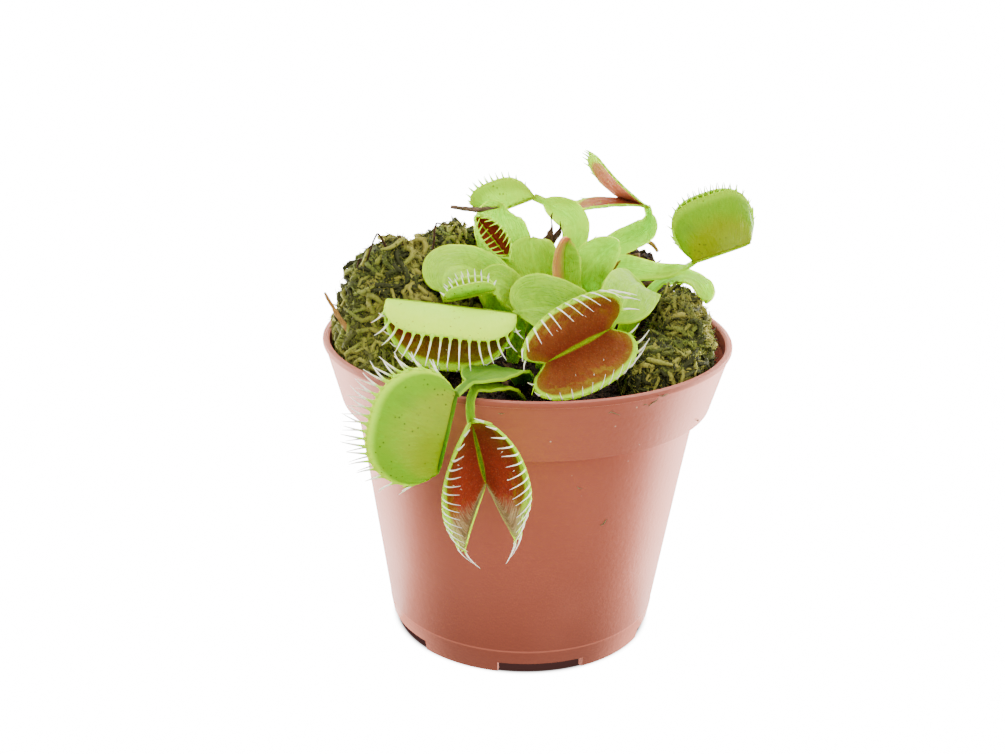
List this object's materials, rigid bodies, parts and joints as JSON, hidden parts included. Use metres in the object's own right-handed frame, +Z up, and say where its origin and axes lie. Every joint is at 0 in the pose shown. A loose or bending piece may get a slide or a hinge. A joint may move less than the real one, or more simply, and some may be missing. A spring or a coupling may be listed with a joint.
{
  "type": "potted venus flytrap",
  "caption": "Venus flytrap in a small plastic nursery pot: a rosette of winged leaves with toothed snap traps over peat and moss, two traps hanging over the rim.",
  "frame": {"origin": "centre of the bounding box in plan, on the surface that the pot stands on", "axes": "+Z up along the pot's axis, -Y towards the front, where two traps hang over the rim, +X to the right seen from there"},
  "size_m": [0.0926, 0.1054, 0.1057],
  "materials": {
    "pot_plastic": "satin terracotta-coloured moulded plastic",
    "peat": "crumbly, damp",
    "moss": "matted strands",
    "leaf": "smooth, slightly waxy and translucent",
    "bark": "rough",
    "dead_leaf": "dry"
  },
  "bodies": {
    "root": {"bark_stick": "bark", "dead_leaf": "dead_leaf", "leaf_back_left": "leaf", "leaf_centre_open": "leaf", "leaf_forked": "leaf", "leaf_front_hanging": "leaf", "leaf_front_left": "leaf", "leaf_left_hanging": "leaf", "leaf_lying_trap": "leaf", "leaf_right_arched": "leaf", "leaf_right_upright": "leaf", "leaf_shaded_front": "leaf", "leaf_small_striped": "leaf", "leaf_small_young": "leaf", "leaf_top_open": "leaf", "leaf_upright_centre": "leaf", "leaf_withered_tip": "leaf", "leaf_young_rolled": "leaf", "moss_left": "moss", "moss_right": "moss", "peat": "peat", "pot": "pot_plastic", "twig": "bark"}
  },
  "joints": []
}
